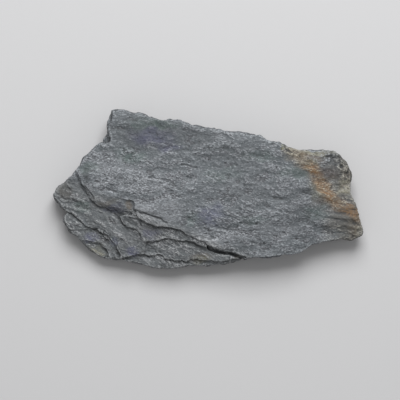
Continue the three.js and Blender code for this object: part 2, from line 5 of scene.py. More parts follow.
import bpy
import numpy as np
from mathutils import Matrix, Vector


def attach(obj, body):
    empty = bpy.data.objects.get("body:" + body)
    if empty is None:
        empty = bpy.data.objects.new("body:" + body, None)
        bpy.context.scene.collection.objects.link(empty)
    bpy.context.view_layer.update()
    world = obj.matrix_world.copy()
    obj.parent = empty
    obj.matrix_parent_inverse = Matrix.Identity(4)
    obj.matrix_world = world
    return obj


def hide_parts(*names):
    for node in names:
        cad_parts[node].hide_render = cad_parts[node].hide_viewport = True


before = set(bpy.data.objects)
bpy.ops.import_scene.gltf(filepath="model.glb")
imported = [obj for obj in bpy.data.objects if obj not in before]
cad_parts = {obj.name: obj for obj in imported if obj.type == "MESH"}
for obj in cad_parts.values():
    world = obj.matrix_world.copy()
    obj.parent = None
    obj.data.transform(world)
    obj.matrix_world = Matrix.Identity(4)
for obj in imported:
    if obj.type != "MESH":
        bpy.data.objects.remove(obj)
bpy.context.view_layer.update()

bl_info = {
    "name": "Slate fragment",
    "version": (1, 0, 0),
    "blender": (4, 5, 0),
    "location": "3D View > Sidebar > Slate",
    "description": "Dresses the packed slate fragment with its split surface and sets up its stage",
    "category": "Object",
}

MM = 0.001
NODE = "slate_fragment"
PIECE = "cleaved_slate"

# Surface mesh, in millimetres
VOXEL = 0.25
SMOOTHING_PASSES = 1
SMOOTHING_SHARE = 0.5

# The underside, below this height and facing down by more than this, keeps this share of its
# triangles. The thinning holds on to all the others with this weight.
UNDERSIDE = {"facing": -0.6, "top": 3.0, "kept": 0.2, "hold": 1000}

# The grain runs along +X and sinks towards it by its slope. The shingled lower left has its own,
# steeper one: it starts at this line, which falls towards +X too.
MAIN_GRAIN = 0.13
SHINGLE_GRAIN = 0.46
SHINGLE_LINE = {"middle": (-20.0, -5.5), "slope": -0.42, "blend": 1.6}
GRAIN_WAVER = {"height": 0.9, "along": 11.0, "across": 7.0, "through": 9.0, "layers": 1}
GRAIN_THROUGH = 4.0

# Relief of the split faces, in millimetres
RIBS = (
    {"along": 11.0, "across": 3.6, "height": 0.15},
    {"along": 4.0, "across": 1.5, "height": 0.05},
)
CREASES = (
    {"along": 2.6, "across": 1.1, "height": 0.06},
    {"along": 0.9, "across": 0.6, "height": 0.06},
)
CREASE_SHARPNESS = 0.7
CREASED_PATCHES = {"along": 9.0, "across": 4.5, "layers": 3, "blend": 0.35}
FLAKES = {"along": 5.4, "across": 2.7, "step": 0.12, "height": 0.4}
SHINGLE_FLAKES = {"along": 6.0, "across": 2.4, "step": 0.16, "height": 0.36}
FLAKE_LAYERS = 5
FLAKE_EDGE = (0.4, 0.6)
PITS = {"along": 1.1, "across": 0.6, "rim": 0.55, "bottom": 0.95, "depth": 0.25}

# Stronger ribs cross the lower half of the right end: middle, half lengths and strength
END_RIBS = {"across": 0.62, "along": 7.0, "height": 0.26}
END_RIBS_PLACE = ((38.0, -7.5, 5.5, 5.5, 1.0),)

# The broken sides: thin sheets that bend a little and stand out by different amounts. In the noise
# they lie this far apart, so that neighbours differ.
SHEET_BEND = {"height": 0.5, "along": 14.0, "across": 11.0, "through": 50.0, "layers": 1}
LAMINA = {"thickness": 0.62, "along": 3.8, "height": 0.42, "apart": 7.31}
HACKLE = {"height": 0.28, "along": 1.5, "across": 1.5, "through": 1.5, "layers": 3}

# Granular broken patches: middle, half lengths and how strong
BROKEN_PATCHES = (
    (37.6, 6.0, 2.2, 4.6, 1.0), (34.8, 9.4, 3.0, 1.6, 1.0), (27.0, 9.2, 4.5, 2.0, 0.25),
    (41.0, -10.0, 1.8, 4.0, 0.5),
)
CRUMB = {"size": 0.9, "height": 0.62, "layers": 2}

# Where a face counts as a split face and where as a broken side, by how level it is, and where
# it is turned up enough for the hair cracks
LEVEL = (0.55, 0.85)
SIDE = (0.25, 0.6)
TURNED_UP = (0.3, 0.7)

# Hair cracks on the top face: points in millimetres, from the middle of the stone
HAIR_CRACKS = (
    ((-29.7, -0.2), (-28.6, 0.2), (-27.4, 0.1), (-25.6, -0.7)),
    ((-16.4, 3.4), (-14.6, 3.0), (-12.6, 2.7), (-11.2, 2.5)),
    ((-7.2, 6.8), (-5.4, 6.4), (-3.4, 5.9)),
    ((-20.4, -5.9), (-18.2, -6.5), (-16.0, -7.3), (-13.6, -8.3), (-11.6, -9.3)),
)
HAIR_WIDTH = 0.3
HAIR_DEPTH = 0.4
HAIR_WANDER = {"height": 0.3, "along": 1.1, "across": 1.1, "through": 5.0, "layers": 1}

# The iron-stained band at the right end, with a warm halo that starts further up
STAIN_PATH = (
    (27.2, 6.7), (28.3, 6.1), (29.7, 3.8), (30.8, 2.0), (31.9, 0.3), (33.3, -1.3), (35.0, -3.4),
    (37.8, -5.2), (40.5, -6.2), (41.4, -7.2),
)
HALO_PATH = ((22.8, 10.3), (25.0, 8.9), *STAIN_PATH)
STAIN_WIDTH = 1.35
STAIN_EDGE = (0.3, 1.9)
STAIN_HALO = 3.4
HALO_EDGE = (0.2, 1.0)
STAIN_WAVER = {"height": 0.8, "along": 2.4, "across": 1.6, "through": 5.0, "layers": 3}

# The stain is worn thin in places, down to this share
STAIN_WEAR = {"height": 1.0, "along": 2.6, "across": 1.8, "through": 5.0, "layers": 3}
STAIN_WORN = (-0.5, 0.4)
STAIN_LEAST = 0.4

# The whole right end is warmer than the rest: where this starts and where it is at its most, and
# how warm the end, the halo and the shingles are
WARM_END = (29.0, 38.5)
WARM_WAVER = {"height": 2.5, "along": 5.0, "across": 3.0, "through": 5.0, "layers": 3}
WARMTH = {"end": 0.55, "halo": 0.75, "shingles": 0.15}

# Patches of other colours: middle, half lengths, and strength
PATCHES = {
    "green": (
        (-14.8, 18.2, 8.0, 1.8, 0.7), (-33.0, 6.1, 3.2, 2.2, 0.7), (-35.5, -4.4, 2.8, 2.0, 0.7),
        (-4.5, -8.0, 2.6, 1.9, 0.7), (23.4, 4.6, 4.6, 2.2, 0.5), (-26.5, -14.6, 1.2, 1.6, 0.4),
        (-21.0, 9.0, 5.0, 2.4, 0.6), (30.0, -6.5, 3.4, 2.6, 0.7), (14.0, 9.0, 5.0, 2.0, 0.5),
        (4.0, 4.0, 6.0, 2.0, 0.4), (12.0, -9.0, 5.0, 1.6, 0.4),
    ),
    "purple": (
        (-15.6, 14.7, 6.6, 2.6, 0.9), (0.4, -7.1, 4.6, 3.0, 0.6), (-32.2, -13.0, 2.6, 1.4, 0.9),
        (-20.9, -17.4, 1.7, 1.5, 0.8), (-10.5, 11.8, 4.0, 1.5, 0.7), (-15.6, -12.4, 3.0, 1.5, 0.8),
        (-26.2, -5.2, 3.6, 1.0, 0.5), (-26.2, -14.6, 1.2, 1.2, 0.7), (33.0, 4.8, 2.6, 1.6, 0.4),
    ),
    # Pale patches are powdery stone, except the thin strip along the top edge at (-14.0, 18.9), a
    # painted highlight on the lit rim
    "pale": (
        (-13.0, -6.0, 8.0, 4.2, 0.9), (-28.5, 5.5, 6.0, 4.5, 0.7), (3.5, -13.0, 9.5, 2.8, 0.8),
        (-17.5, 2.2, 10.0, 3.4, 0.75), (-22.0, -14.0, 3.4, 2.2, 0.5), (-16.0, -18.5, 4.0, 1.2, 0.6),
        (18.0, -11.5, 8.0, 2.6, 0.5), (10.0, 0.0, 7.0, 3.0, 0.3), (-14.0, 18.9, 9.0, 0.7, 0.5),
    ),
    "brown": (
        (26.0, 9.2, 4.0, 1.8, 1.0), (30.2, 8.2, 3.6, 1.6, 0.9), (22.4, 11.0, 3.0, 1.0, 0.8),
        (40.2, -9.5, 3.2, 4.8, 0.9), (-2.5, -18.4, 3.4, 1.6, 0.6), (8.2, -18.9, 1.1, 0.8, 0.9),
        (-21.3, -5.2, 1.0, 1.2, 0.8), (33.2, -2.6, 4.6, 2.8, 0.6), (33.0, 4.6, 3.4, 3.0, 0.7),
        (38.0, 3.0, 2.4, 5.0, 0.6), (-28.0, -3.4, 4.0, 1.0, 0.4), (-40.0, 0.0, 2.4, 2.6, 0.4),
    ),
    "olive": (
        (28.6, 6.8, 2.2, 1.2, 0.8), (30.2, 0.4, 2.4, 2.4, 0.7), (-31.4, -17.0, 3.0, 1.7, 0.6),
        (-2.0, -19.0, 2.6, 1.2, 0.7), (37.4, 2.0, 2.4, 1.2, 0.7), (20.8, 11.8, 1.3, 0.8, 1.0),
    ),
    # Most dim patches are darker stone; the one at (-26.0, -5.3) is painted shade on a step wall that
    # lies in shade, and the one at (37.6, -8.0) is partly painted shade between the end ribs
    "dim": (
        (-16.0, 15.5, 12.0, 4.6, 0.8), (36.8, 6.2, 4.0, 5.0, 0.9), (27.0, -4.5, 9.0, 7.0, 0.4),
        (-26.0, -5.3, 4.0, 1.0, 0.6), (12.0, 3.0, 11.0, 8.0, 0.3), (-16.0, -11.0, 4.2, 2.0, 0.7),
        (37.6, -8.0, 5.6, 3.6, 1.0), (-5.0, 14.5, 8.0, 3.0, 0.6), (-21.5, -12.5, 3.2, 4.0, 0.4),
        (41.0, -5.6, 2.4, 2.6, 0.9), (-12.0, 16.0, 10.0, 3.0, 0.4), (33.5, 5.4, 4.0, 3.0, 0.7),
        (40.6, -10.6, 2.2, 3.0, 0.6), (36.9, 2.4, 2.8, 1.8, 0.8), (27.4, 7.4, 3.0, 1.4, 0.6),
        (24.5, 4.5, 3.5, 1.8, 0.5), (31.0, 8.4, 3.0, 1.2, 0.4), (8.0, 9.5, 10.0, 4.0, 0.4),
        (-39.6, -0.4, 2.4, 3.0, 0.5), (-34.0, 4.4, 1.0, 3.2, 0.9), (-15.6, -12.4, 3.2, 1.8, 0.6),
        (-36.5, 8.0, 1.6, 2.0, 0.4),
    ),
    "beige": (
        (30.5, 10.2, 5.2, 0.8, 0.8), (36.9, -0.6, 3.4, 1.4, 1.0), (34.0, 1.0, 1.6, 1.0, 0.5),
        (41.6, -11.8, 1.6, 2.0, 0.2), (-31.0, -18.0, 2.6, 0.6, 0.7),
    ),
    "ochre": ((20.8, 11.8, 1.3, 0.8, 1.0), (22.9, 10.6, 1.6, 0.5, 0.5)),
}

# Patches have frayed edges: their outlines wander, and they fade out between these two distances
# from their middle, in half lengths
PATCH_WAVER = {"height": 1.1, "along": 3.2, "across": 2.1, "through": 5.0, "layers": 3}
PATCH_EDGE = (0.35, 1.25)

# How much of its strength a patch loses on the broken sides
SIDE_FADE = 0.7

# The colour of each kind of patch, and how much of it shows at most
TINTS = {
    "green": ("#4f645d", 0.8),
    "purple": ("#535473", 0.75),
    "pale": ("#84868a", 0.6),
    "brown": ("#5e5140", 0.9),
    "olive": ("#63624c", 0.85),
    "beige": ("#9c9883", 0.9),
    "ochre": ("#77742f", 0.9),
}

# Each patch is thinner where the clouds of the grain are dark: between these two values of the
# clouds it goes from this share of its most to all of it
TINT_CLOUDS = (0.35, 0.6)
TINT_LEAST = 0.4

# How much of the light the dimmest patches still give back, next to plain slate
# Part of this dimming is painted shade, on a shaded step wall and between the end ribs
DIMMEST = 0.45

# Edges and hollows are found by comparing the surface with itself after this many passes of
# smoothing. The limits are heights over the smoothed surface, in millimetres.
FINE_PASSES = 4
BROAD_PASSES = 24
CREST = (0.005, 0.07)
# Hollows darken the colour towards that of the pits: painted shade in the creases of the surface
HOLLOW = (0.01, 0.12)
# Broad recesses, such as the foot of each step, are darkened as painted shade
RECESS_SHADE = (0.12, 0.42)

# Each family of forms draws its own repeatable noise
SEEDS = {
    "main plate": 100, "shingles": 200, "crumbs": 301, "end ribs": 311, "sheet bend": 51,
    "sheet ends": 52, "hackle": 61, "hairs along": 71, "hairs across": 72, "patches along": 81,
    "patches across": 86, "stain edge": 91, "stain wear": 98, "warm end": 95, "tone": 5, "hue": 9,
}

# The seeds of the forms on a split face, counted from that of the face
FACE_SEEDS = {"flakes": 1, "ribs": 10, "creases": 20, "pits": 30, "creased patches": 40}

# The two split faces: grain, flakes and seed of each
FACES = (
    (MAIN_GRAIN, FLAKES, SEEDS["main plate"]),
    (SHINGLE_GRAIN, SHINGLE_FLAKES, SEEDS["shingles"]),
)

# The numbers that mix the bits of a lattice point into a repeatable value
HASH_STEPS = (73856093, 19349663, 83492791, 26544357)
HASH_MIXERS = ((13, 1274126177), (15, 2246822519))
HASH_BITS = 0xFFFFFFFF
HASH_LOW_BITS = 0xFFFF

# The grain of the colours: its sizes along and across in millimetres, and how the noise is drawn.
# Real mica flakes and grains of powder are about 0.05 mm across and too fine to show, so specks and
# glints are drawn 0.2 to 0.8 mm across, as coarse as they need to show.
RIDGED = {"noise_type": "RIDGED_MULTIFRACTAL"}
GRAINS = {
    "clouds": ((7.0, 3.0), {"Detail": 4.0, "Roughness": 0.6}, {}),
    "fibres": ((2.2, 0.5), {"Detail": 4.0, "Roughness": 0.7}, {}),
    "wrinkles": ((2.8, 1.3), {"Detail": 2.0, "Roughness": 0.6, "Distortion": 0.9}, RIDGED),
    "seams": ((3.7, 1.0), {"Detail": 2.0, "Roughness": 0.6, "Distortion": 0.7}, RIDGED),
    "specks": ((0.42, 0.24), {"Detail": 1.0}, {}),
    # The glints are painted highlights: the mica's flashes of light, laid into the colour as short
    # light lines
    "glints": ((0.8, 0.22), {"Detail": 2.0, "Roughness": 0.7}, {}),
}
CARD_TOOTH = ((3.0, 3.0), {"Detail": 2.0}, {})

# The masks on the mesh that the layers of colour are laid by
MASKS = ("crest", "hollow", "joint", "side", "tone", "hue", "stain", "warm", "broken", "dim", *TINTS)

# Shares spread out from a grain or a mask: between which two of its values, and from what to what
SPREAD = {
    "cloudy": ("clouds", 0.36, 0.64, -0.1, 0.75),
    "plated": ("tone", 0.0, 1.0, -0.3, 0.85),
    "mauve": ("hue", 0.5, 1.0, 0.0, 0.5),
    "soaked": ("fibres", 0.3, 0.6, 0.3, 0.85),
    "dimmed": ("clouds", 0.35, 0.6, 0.45, 0.9),
    "rusty": ("fibres", 0.36, 0.56, 0.25, 1.0),
    "undimmed": ("dim", 0.0, 0.9, 1.0, 0.2),
    "uneven": ("hue", 0.2, 0.8, 0.3, 1.0),
    "frosted": ("frost", 0.45, 0.95, 0.05, 1.0),
    "sparse": ("frost", 0.4, 0.75, 0.2, 0.75),
    "flecked": ("specks", 0.53, 0.62, 0.0, 1.0),
    "lined": ("wrinkles", 0.75, 1.0, 0.0, 1.0),
    "bruised": ("specks", 0.4, 0.62, 0.05, 0.8),
    "painted glints": ("glints", 0.53, 0.63, 0.0, 0.9),
    "chinked": ("glints", 0.48, 0.36, 0.0, 1.0),
    "pitted": ("specks", 0.38, 0.28, 0.0, 0.65),
    "shaded": ("dim", 0.0, 1.0, 0.5, 0.9),
    "seamed": ("seams", 0.7, 1.15, 0.0, 0.55),
    # How strong the painted shade in the broad recesses is, patchy with the clouds
    "recess shade share": ("clouds", 0.35, 0.62, 0.1, 0.85),
    # Painted shade on the broken sides, darkest where they stand upright
    "sheet ends": ("side", 0.0, 1.0, 0.0, 0.6),
    "dull": ("fibres", 0.3, 0.7, 0.82, 0.6),
}
for tint_name, (_, most_shown) in TINTS.items():
    SPREAD[f"{tint_name} grain"] = ("clouds", *TINT_CLOUDS, TINT_LEAST * most_shown, most_shown)

# Shares made of two others
COMBINED = {
    "base": ("ADD", "cloudy", "plated"),
    "bare": ("MAXIMUM", "undimmed", "broken"),
    "rough": ("MULTIPLY", "uneven", "bare"),
}

# The colours in the order in which they lie on each other, with the shares whose product says how
# much of each shows
LAYERS = (
    ("slate", "base"),
    ("slate_mauve", "mauve"),
    ("slate_warm", "warm", "soaked"),
    *((name, name, f"{name} grain") for name in TINTS),
    # Dim patches: darker stone, and in two places painted shade
    ("dimmest", "dim", "dimmed"),
    ("stain", "stain", "rusty"),
    ("powder_and_glint", "flecked", "rough", "frosted"),
    ("powder_and_glint", "lined", "sparse"),
    ("powder_and_glint", "crest", "bruised", "bare"),
    # Painted highlights: the mica's glints as short light lines
    ("powder_and_glint", "painted glints", "rough"),
    ("pit_and_shade", "chinked", "rough"),
    ("pit_and_shade", "pitted"),
    # Painted shade in the hollows of the surface, deeper in the dim patches
    ("pit_and_shade", "hollow", "shaded"),
    ("pit_and_shade", "seamed"),
    # Painted shade in the broad recesses, at the foot of the steps
    ("pit_and_shade", "joint", "recess shade share"),
    # Painted shade on the broken sides
    ("pit_and_shade", "sheet ends"),
)

# The two materials: index of refraction, height of the bump in millimetres, roughness and how
# light the tooth of the card is at its darkest
SLATE_IOR = 1.55
SLATE_BUMP = 0.11
CARD_IOR = 1.3
CARD_ROUGHNESS = 0.95
CARD_SHADE = 0.99

# A Mix node has sockets of one name for each kind of value, so they are told by number
FACTOR = 0
VECTORS = (4, 5)
COLOURS = (6, 7)
MIXED_VECTOR = 1
MIXED_COLOUR = 2

# The stage, in millimetres
VIEW_CENTRE = (-2.34, -3.0)
VIEW_WIDTH = 110.6
VIEW_HEIGHT_OF_FOCUS = 8.0
CAMERA_DISTANCE = 1200.0
FARTHEST_SEEN = 10000.0
SENSOR_WIDTH = 36.0
FLOOR_SIZE = 1600.0
FLOOR_GAP = 0.02
KEY_PLACE = (45.0, 405.0, 480.0)
KEY_SIZE = 400.0


def linear_colour(hex_colour):
    """Turns an sRGB hex value such as #6d747b to linear red, green and blue."""
    channels = [int(hex_colour[start : start + 2], 16) / 255 for start in (1, 3, 5)]
    return tuple(c / 12.92 if c <= 0.04045 else ((c + 0.055) / 1.055) ** 2.4 for c in channels)


class SlateSettings(bpy.types.PropertyGroup):
    voxel: bpy.props.FloatProperty(
        name="Surface cell",
        description="Size of the cells that the surface is rebuilt with",
        default=VOXEL * MM,
        min=0.0002,
        unit="LENGTH",
        precision=5,
    )
    relief: bpy.props.FloatProperty(
        name="Relief",
        description="Height of the grain and of the broken sheets, as a share of the real one",
        default=1.0,
        min=0.0,
        max=2.0,
        subtype="FACTOR",
    )
    slate: bpy.props.FloatVectorProperty(
        name="Slate",
        description="Colour of the freshly split stone",
        subtype="COLOR",
        default=linear_colour("#5a5f63"),
    )
    slate_dark: bpy.props.FloatVectorProperty(
        name="Dark slate",
        description="Colour of the darker flakes and fibres",
        subtype="COLOR",
        default=linear_colour("#3e4447"),
    )
    slate_mauve: bpy.props.FloatVectorProperty(
        name="Mauve slate",
        description="Colour of the flakes that are browner than the rest",
        subtype="COLOR",
        default=linear_colour("#5e5b61"),
    )
    slate_warm: bpy.props.FloatVectorProperty(
        name="Warm slate",
        description="Colour of the stone where rusty water has soaked in",
        subtype="COLOR",
        default=linear_colour("#5e574b"),
    )
    # The lighter colour is also that of the painted glints of the mica
    slate_light: bpy.props.FloatVectorProperty(
        name="Light slate",
        description="Colour of the lighter fibres and powdered edges",
        subtype="COLOR",
        default=linear_colour("#a0a4a9"),
    )
    beige: bpy.props.FloatVectorProperty(
        name="Beige powder",
        description="Colour of the powdered edges where rusty water has soaked in",
        subtype="COLOR",
        default=linear_colour("#aba48f"),
    )
    stain: bpy.props.FloatVectorProperty(
        name="Iron stain",
        description="Colour of the rust band",
        subtype="COLOR",
        default=linear_colour("#785834"),
    )
    # Colour of the pits, and also of the painted shade in hollows, recesses and on the broken sides
    pit_and_shade: bpy.props.FloatVectorProperty(
        name="Pits",
        description="Colour of pits and open joints",
        subtype="COLOR",
        default=linear_colour("#2c2e30"),
    )


class StageSettings(bpy.types.PropertyGroup):
    floor: bpy.props.FloatVectorProperty(
        name="Floor",
        description="Colour of the plain floor",
        subtype="COLOR",
        default=linear_colour("#bfbfc0"),
    )
    key_power: bpy.props.FloatProperty(
        name="Key light",
        description="Power of the soft light at the back",
        default=4.7,
        min=0.0,
        unit="POWER",
    )
    ambient: bpy.props.FloatProperty(
        name="Ambient",
        description="Strength of the even light from all round",
        default=0.42,
        min=0.0,
    )


# Repeatable noise


def lattice_value(i, j, k, seed):
    """A repeatable number from 0 to 1 for each whole-number lattice point."""
    mixed = 0
    for value, step in zip((i, j, k, seed), HASH_STEPS):
        mixed = mixed ^ (value * step)
    for shift, mixer in HASH_MIXERS:
        mixed = ((mixed ^ (mixed >> shift)) * mixer) & HASH_BITS
    return ((mixed ^ (mixed >> 16)) & HASH_LOW_BITS) / HASH_LOW_BITS


def noise(x, y, z, seed):
    """Smooth noise from -1 to 1 at the points x, y, z, with features one unit across."""
    corner = [np.floor(axis).astype(np.int64) for axis in (x, y, z)]
    part = [axis - floor for axis, floor in zip((x, y, z), corner)]
    ease = [t * t * (3 - 2 * t) for t in part]
    total = np.zeros(len(x))
    for step in range(8):
        side = [(step >> axis) & 1 for axis in range(3)]
        weight = np.ones(len(x))
        for axis in range(3):
            weight = weight * (ease[axis] if side[axis] else 1 - ease[axis])
        total += weight * lattice_value(*(corner[axis] + side[axis] for axis in range(3)), seed)
    return total * 2 - 1


def fractal(x, y, z, seed, layers):
    """Noise with finer noise added on top, each layer half as wide and half as high."""
    total = np.zeros(len(x))
    for layer in range(layers):
        scale = 2.0**layer
        total += noise(x * scale, y * scale, z * scale, seed + layer) / scale
    return total


def waver(points, form, seed):
    """Noise of the form's height, sizes and layers at each point, in millimetres."""
    x, y, z = points.T
    places = (x / form["along"], y / form["across"], z / form["through"])
    return form["height"] * fractal(*places, seed, form["layers"])


def smoothstep(low, high, value):
    """Nought below low, one above high, and an even ease between them."""
    share = np.clip((value - low) / (high - low), 0, 1)
    return share * share * (3 - 2 * share)


# The surface


def shingle_share(points):
    """One on the shingled lower left and nought on the main plate."""
    x, y = points.T[:2]
    middle_x, middle_y = SHINGLE_LINE["middle"]
    below = middle_y + SHINGLE_LINE["slope"] * (x - middle_x) - y
    return smoothstep(-SHINGLE_LINE["blend"], SHINGLE_LINE["blend"], below)


def joined_faces(points, values):
    """The first of two values on the main plate and the second on the shingles."""
    main, shingled = values
    share = shingle_share(points)
    return (1 - share) * main + share * shingled


def grain_axes(points, slope, seed):
    """Places along the grain, across it and through it, with the grain's slope and its waver."""
    x, y, z = points.T
    return x, y + slope * x + waver(points, GRAIN_WAVER, seed), z / GRAIN_THROUGH


def along_grain(axes, form):
    """The places on the grain's axes, counted in sizes of the form."""
    along, across, level = axes
    return along / form["along"], across / form["across"], level


def creased(places, seed):
    """Sharp crests with round hollows between them, from -1 to 1."""
    return 1 - 2 * np.abs(noise(*places, seed)) ** CREASE_SHARPNESS


def flake_steps(axes, flakes, seed):
    """How many flakes deep each point is: the edges are where this passes a half."""
    flow = fractal(*along_grain(axes, flakes), seed, FLAKE_LAYERS)
    return flow * flakes["height"] / flakes["step"]


def flaked(axes, flakes, seed):
    """Level plates with sharp broken edges, each as high as a flake, where sheets came off."""
    depth = flake_steps(axes, flakes, seed)
    whole = np.floor(depth)
    return flakes["step"] * (whole + smoothstep(*FLAKE_EDGE, depth - whole))


def cleavage_relief(points, slope, flakes, seed):
    """Height of a split face whose grain has this slope: flakes, ribs, creased patches and pits."""
    axes = grain_axes(points, slope, seed)
    relief = flaked(axes, flakes, seed + FACE_SEEDS["flakes"])
    for number, rib in enumerate(RIBS):
        ribbed = noise(*along_grain(axes, rib), seed + FACE_SEEDS["ribs"] + number)
        relief += rib["height"] * ribbed
    places = along_grain(axes, CREASED_PATCHES)
    patches = fractal(*places, seed + FACE_SEEDS["creased patches"], CREASED_PATCHES["layers"])
    patchy = smoothstep(-CREASED_PATCHES["blend"], CREASED_PATCHES["blend"], patches)
    for number, crease in enumerate(CREASES):
        crests = creased(along_grain(axes, crease), seed + FACE_SEEDS["creases"] + number)
        relief += patchy * crease["height"] * crests
    hole = noise(*along_grain(axes, PITS), seed + FACE_SEEDS["pits"])
    return relief - PITS["depth"] * smoothstep(PITS["rim"], PITS["bottom"], hole)


def crumbs(points):
    """Height of the grains on the broken patches."""
    strength = CRUMB["height"] * patch_mask(points, BROKEN_PATCHES)
    return strength * fractal(*(points.T / CRUMB["size"]), SEEDS["crumbs"], CRUMB["layers"])


def end_ribs(points):
    """Height of the strong ribs at the right end."""
    x, y, z = points.T
    across = (y + MAIN_GRAIN * x) / END_RIBS["across"]
    ribs = noise(x / END_RIBS["along"], across, z / GRAIN_THROUGH, SEEDS["end ribs"])
    return ribs * END_RIBS["height"] * patch_mask(points, END_RIBS_PLACE)


def split_face_relief(points):
    """Height of the split faces over the solid, with their broken patches and end ribs."""
    faces = joined_faces(points, [cleavage_relief(points, *face) for face in FACES])
    return faces + crumbs(points) + end_ribs(points)


def side_relief(points):
    """Height of the broken sides: thin sheets that end at different places, and rough fracture."""
    x, y, z = points.T
    bent = z + waver(points, SHEET_BEND, SEEDS["sheet bend"])
    sheet = np.floor(bent / LAMINA["thickness"])
    places = (x / LAMINA["along"], y / LAMINA["along"], sheet * LAMINA["apart"])
    ends = noise(*places, SEEDS["sheet ends"])
    return LAMINA["height"] * ends + waver(points, HACKLE, SEEDS["hackle"])


def distance_to_path(x, y, path):
    """Distance from each point to the nearest place on a line of straight stretches."""
    nearest = np.full(len(x), np.inf)
    for (start_x, start_y), (end_x, end_y) in zip(path, path[1:]):
        run_x, run_y = end_x - start_x, end_y - start_y
        share = ((x - start_x) * run_x + (y - start_y) * run_y) / (run_x**2 + run_y**2)
        share = np.clip(share, 0, 1)
        away = np.hypot(x - start_x - share * run_x, y - start_y - share * run_y)
        nearest = np.minimum(nearest, away)
    return nearest


def hair_cracks(points, normals):
    """Depth of the hair cracks, on faces that look up."""
    x, y = points.T[:2]
    wander_x = x + waver(points, HAIR_WANDER, SEEDS["hairs along"])
    wander_y = y + waver(points, HAIR_WANDER, SEEDS["hairs across"])
    depth = np.zeros(len(points))
    for path in HAIR_CRACKS:
        away = distance_to_path(wander_x, wander_y, path)
        depth = np.maximum(depth, np.exp(-((away / HAIR_WIDTH) ** 2)))
    return HAIR_DEPTH * depth * smoothstep(*TURNED_UP, normals[:, 2])


def mesh_arrays(mesh):
    """Vertex places in millimetres, vertex normals and the two ends of each edge."""
    count = len(mesh.vertices)
    points = np.empty(count * 3, np.float32)
    mesh.vertices.foreach_get("co", points)
    normals = np.empty(count * 3, np.float32)
    mesh.vertices.foreach_get("normal", normals)
    ends = np.empty(len(mesh.edges) * 2, np.int32)
    mesh.edges.foreach_get("vertices", ends)
    points = points.reshape(-1, 3).astype(float) / MM
    return points, normals.reshape(-1, 3).astype(float), ends.reshape(-1, 2)


def neighbour_mean(values, ends):
    """The mean of each vertex's neighbours."""
    size = len(values)
    first, second = ends.T
    count = np.bincount(ends.ravel(), minlength=size)
    sums = [
        np.bincount(first, column[second], size) + np.bincount(second, column[first], size)
        for column in values.reshape(size, -1).T
    ]
    return (np.array(sums) / count).T.reshape(values.shape)


def with_modifiers_applied(piece):
    """Gives the piece the mesh that its modifiers make, and drops them and its old mesh."""
    depsgraph = bpy.context.evaluated_depsgraph_get()
    made = bpy.data.meshes.new_from_object(piece.evaluated_get(depsgraph))
    piece.modifiers.clear()
    old, piece.data = piece.data, made
    bpy.data.meshes.remove(old)
    made.name = PIECE
    return piece


def rebuilt_surface(source, cell):
    """A copy of the node's mesh rebuilt with even cells, so that fine relief can be given to it."""
    piece = bpy.data.objects.new(PIECE, source.data.copy())
    bpy.context.scene.collection.objects.link(piece)
    remesh = piece.modifiers.new("Even cells", "REMESH")
    remesh.mode = "VOXEL"
    remesh.voxel_size = cell
    return with_modifiers_applied(piece)


def give_relief(piece, share):
    """Moves the surface by the relief of its split faces, broken sides and hair cracks."""
    mesh = piece.data
    points, normals, ends = mesh_arrays(mesh)
    for _ in range(SMOOTHING_PASSES):
        points += SMOOTHING_SHARE * (neighbour_mean(points, ends) - points)
    level = smoothstep(*LEVEL, np.abs(normals[:, 2]))
    height = level * split_face_relief(points) + (1 - level) * side_relief(points)
    height = share * height - hair_cracks(points, normals)
    points += normals * height[:, None]
    points[:, 2] = np.maximum(points[:, 2], 0)
    mesh.vertices.foreach_set("co", (points * MM).astype(np.float32).ravel())
    mesh.update()


def thin_underside(piece):
    """Leaves fewer triangles on the underside, where little shows."""
    points, normals, ends = mesh_arrays(piece.data)
    below = (normals[:, 2] < UNDERSIDE["facing"]) & (points[:, 2] < UNDERSIDE["top"])
    group = piece.vertex_groups.new(name="underside")
    group.add(np.flatnonzero(below).tolist(), 1.0, "REPLACE")
    thinning = piece.modifiers.new("Fewer below", "DECIMATE")
    thinning.vertex_group = group.name
    thinning.vertex_group_factor = UNDERSIDE["hold"]
    thinning.ratio = 1 - (1 - UNDERSIDE["kept"]) * below.mean()
    with_modifiers_applied(piece)
    piece.vertex_groups.clear()


# Masks for the material, kept on the mesh


def patch_mask(points, patches):
    """How strongly each point belongs to one of the patches, whose edges are frayed."""
    x = points[:, 0] + waver(points, PATCH_WAVER, SEEDS["patches along"])
    y = points[:, 1] + waver(points, PATCH_WAVER, SEEDS["patches across"])
    mask = np.zeros(len(points))
    for middle_x, middle_y, half_x, half_y, strength in patches:
        away = np.hypot((x - middle_x) / half_x, (y - middle_y) / half_y)
        mask = np.maximum(mask, strength * (1 - smoothstep(*PATCH_EDGE, away)))
    return mask


def stain_distance(points, path):
    """Distance from the middle of a band whose edges are frayed."""
    x, y = points.T[:2]
    return distance_to_path(x, y + waver(points, STAIN_WAVER, SEEDS["stain edge"]), path)


def stain_mask(points):
    """The rust band: strongest along its middle, and thinner in places."""
    worn = smoothstep(*STAIN_WORN, waver(points, STAIN_WEAR, SEEDS["stain wear"]))
    band = 1 - smoothstep(*STAIN_EDGE, stain_distance(points, STAIN_PATH) / STAIN_WIDTH)
    return band * (STAIN_LEAST + (1 - STAIN_LEAST) * worn)


def warm_mask(points):
    """Where the stone is warmer: around the stain, at the right end and a little on the shingles."""
    end = smoothstep(*WARM_END, points[:, 0] + waver(points, WARM_WAVER, SEEDS["warm end"]))
    halo = 1 - smoothstep(*HALO_EDGE, stain_distance(points, HALO_PATH) / STAIN_HALO)
    warmest = np.maximum(WARMTH["end"] * end, WARMTH["halo"] * halo)
    return np.maximum(warmest, WARMTH["shingles"] * shingle_share(points))


